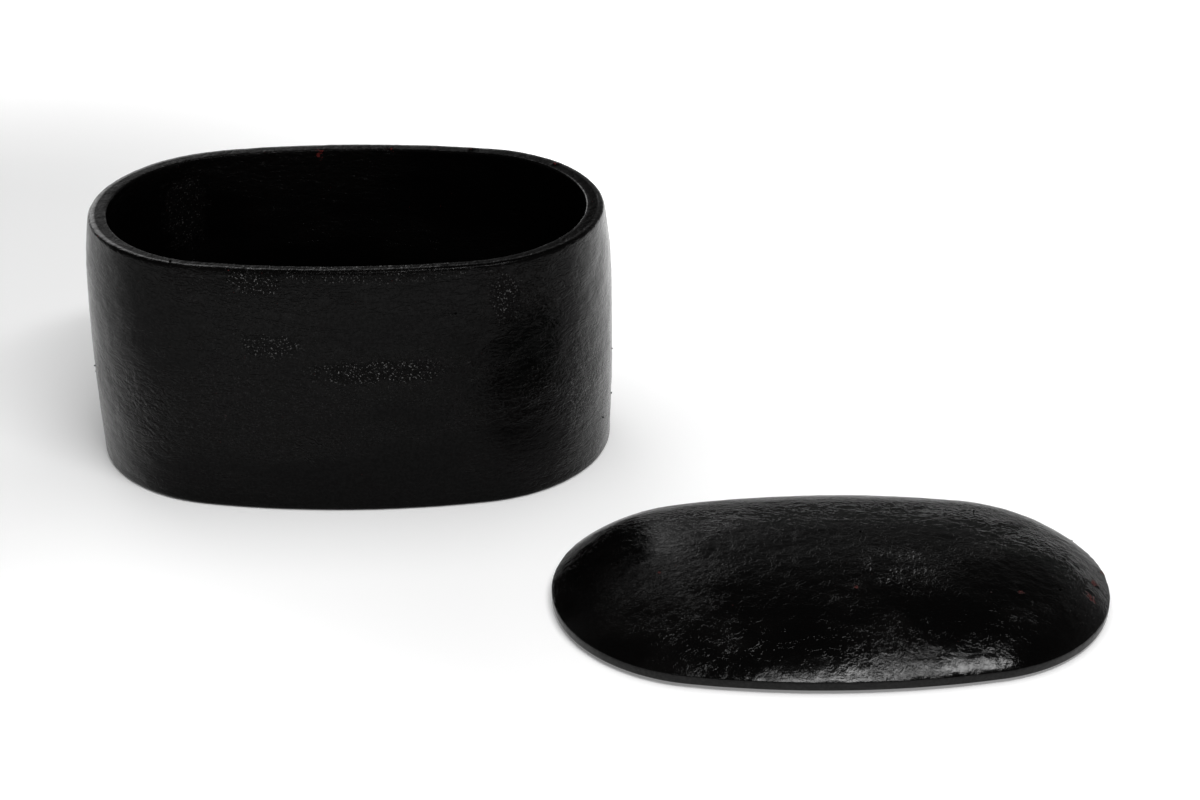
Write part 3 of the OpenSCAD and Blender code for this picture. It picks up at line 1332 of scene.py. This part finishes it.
@dataclass(frozen=True)
class Studio:
    """A pale floor under a dim room with one pale wall far off at the back left.

    The floor glows up to white for the camera and in reflections. Its glow is low round the two
    places where the shadows lie, which paints shade there beside the real shadows.
    """

    floor_size: float = 14.0
    floor_colour: Colour = (0.90, 0.90, 0.90, 1.0)
    floor_rough: float = 0.9
    floor_specular: float = 0.1
    near_lift: float = 0.04
    far_lift: float = 1.0
    box_shade: Triple = (-0.30, 0.15, 0.0)
    box_fade: Band = (0.20, 0.80)
    lid_shade: Triple = (0.25, -0.19, 0.0)
    lid_fade: Band = (0.16, 0.45)
    lid_lift: float = 0.25
    horizon: float = 0.26
    zenith: float = 0.03
    sky_band: Band = (0.05, 0.85)
    wall_towards: Triple = (-0.36, 0.84, 0.41)
    wall_edge: Band = (0.92, 0.985)
    wall_level: float = 2.3
    lamps: tuple[Softbox, ...] = (
        Softbox("key_softbox", (0.74, -1.27, 2.04), (0.10, -0.06, 0.05), 1.35, 0.26, 29.0),
        Softbox("overhead_fill", (0.0, 0.0, 3.2), (0.0, 0.0, 0.0), 3.0, 3.0, 55.0,
                mirrored=False),
    )

    def build(self) -> None:
        """Makes the floor, the lamps and the room."""
        self.build_floor()
        self.build_room()
        for lamp in self.lamps:
            lamp.build()
        bpy.context.scene.view_settings.view_transform = "Standard"

    def build_floor(self) -> None:
        """Makes the floor, which keeps the object's shadow and glows to pure white, with painted
        shade where the glow is low.
        """
        mesh = bpy.data.meshes.new("floor")
        half = self.floor_size / 2
        mesh.from_pydata([(-half, -half, 0), (half, -half, 0), (half, half, 0), (-half, half, 0)],
                         [], [(0, 1, 2, 3)])
        material, tree = new_material("pale_paper")
        place = tree.node("ShaderNodeTexCoord").outputs["Object"]
        from_box = tree.measure("DISTANCE", place, self.box_shade)
        from_lid = tree.measure("DISTANCE", place, self.lid_shade)
        # The glow is lowest round the box's and the lid's shadow places: painted shade there, on
        # top of the real shadows
        lift = tree.product(tree.ramp(from_box, *self.box_fade, self.near_lift, self.far_lift),
                            tree.ramp(from_lid, *self.lid_fade, self.lid_lift, 1.0))
        path = tree.node("ShaderNodeLightPath").outputs
        seen = tree.math("MAXIMUM", path["Is Camera Ray"], tree.math(
            "MAXIMUM", path["Is Glossy Ray"], path["Is Transmission Ray"]))
        tree.end_material({
            "Base Color": self.floor_colour, "Roughness": self.floor_rough,
            "Specular IOR Level": self.floor_specular, "Emission Color": WHITE,
            "Emission Strength": tree.product(lift, seen)})
        mesh.materials.append(material)
        add_object("floor", mesh)

    def build_room(self) -> None:
        """Makes the room: paler near the horizon, dim overhead, with its pale wall."""
        world = bpy.data.worlds.new("room")
        bpy.context.scene.world = world
        world.use_nodes = True
        tree = Tree(world.node_tree)
        towards = tree.node("ShaderNodeTexCoord").outputs["Generated"]
        up = tree.node("ShaderNodeSeparateXYZ", {0: towards}).outputs["Z"]
        near = tree.measure("DOT_PRODUCT", towards, Vector(self.wall_towards).normalized())
        level = tree.total(tree.ramp(up, *self.sky_band, self.horizon, self.zenith),
                           tree.ramp(near, *self.wall_edge, 0.0, self.wall_level))
        # Past the floor's far edge the camera sees white, which lights nothing
        seen = tree.node("ShaderNodeLightPath").outputs["Is Camera Ray"]
        sky = tree.node("ShaderNodeBackground", {
            "Strength": tree.math("MAXIMUM", level, seen), "Color": WHITE})
        tree.node("ShaderNodeOutputWorld", {"Surface": sky.outputs[0]})


def main() -> None:
    """Builds the box, the lid and the studio from the frame, and reports each piece."""
    logging.basicConfig(level=logging.INFO, format="%(name)s: %(message)s")
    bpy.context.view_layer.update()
    StillCamera().build()
    Studio().build()
    shop = Workshop(ReliefTree(), NibTree(), SharedEffects())
    board_low, board_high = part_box("base_board")
    side_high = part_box("side_wall")[1]
    rabbet = OvalBox.rabbet
    plan = OvalPlan(board_high.x + rabbet, board_high.y + rabbet, END_RADIUS)
    OvalBox(plan, side_high.z).build(shop)
    crown_low, crown_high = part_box("lid_crown")
    lip_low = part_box("lid_lip")[0]
    middle = (crown_low + crown_high) / 2
    seat = Seat(middle.x, middle.y, crown_low.z, LID_TURN)
    CrownedLid(plan, seat, crown_high.z - crown_low.z, crown_low.z - lip_low.z).build(shop)


if __name__ == "__main__":
    main()
